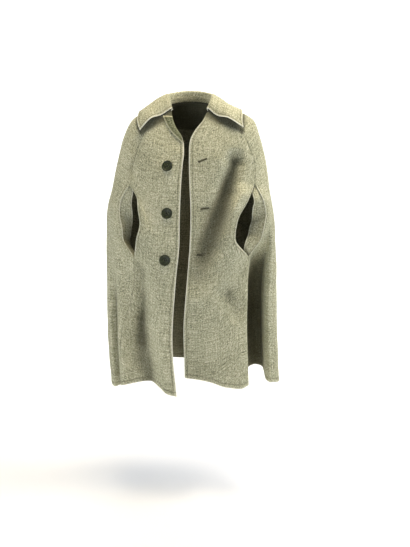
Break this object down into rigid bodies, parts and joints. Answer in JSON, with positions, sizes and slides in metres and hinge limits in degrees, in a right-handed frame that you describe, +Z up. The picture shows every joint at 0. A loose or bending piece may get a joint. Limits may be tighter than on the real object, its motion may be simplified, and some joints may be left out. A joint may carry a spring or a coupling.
{
  "type": "cape coat",
  "caption": "Knee-length wool cape coat worn open, with a pointed roll collar, arm slits with inner welts, and buttons with matching buttonholes at the front.",
  "frame": {"origin": "middle of the neck hole, level with the top of the shoulders, where the wearer's neck and shoulders hold the coat", "axes": "+Z up, the fronts face -Y, +X to the wearer's left"},
  "size_m": [0.6309, 0.355, 1.0601],
  "materials": {
    "wool_tweed": "napped salt-and-pepper woven wool, sage and cream",
    "wool_facing": "the same wool seen on its darker, greener inner side",
    "button": "glossy, near-black green"
  },
  "bodies": {
    "root": {"front_right": "wool_tweed", "front_left": "wool_tweed", "side_right": "wool_tweed", "side_left": "wool_tweed", "back": "wool_tweed", "collar": "wool_tweed", "arm_welt_right": "wool_tweed", "arm_welt_left": "wool_tweed", "front_corner_facing_right": "wool_facing", "button_1": "button", "button_2": "button", "button_3": "button"}
  },
  "joints": []
}
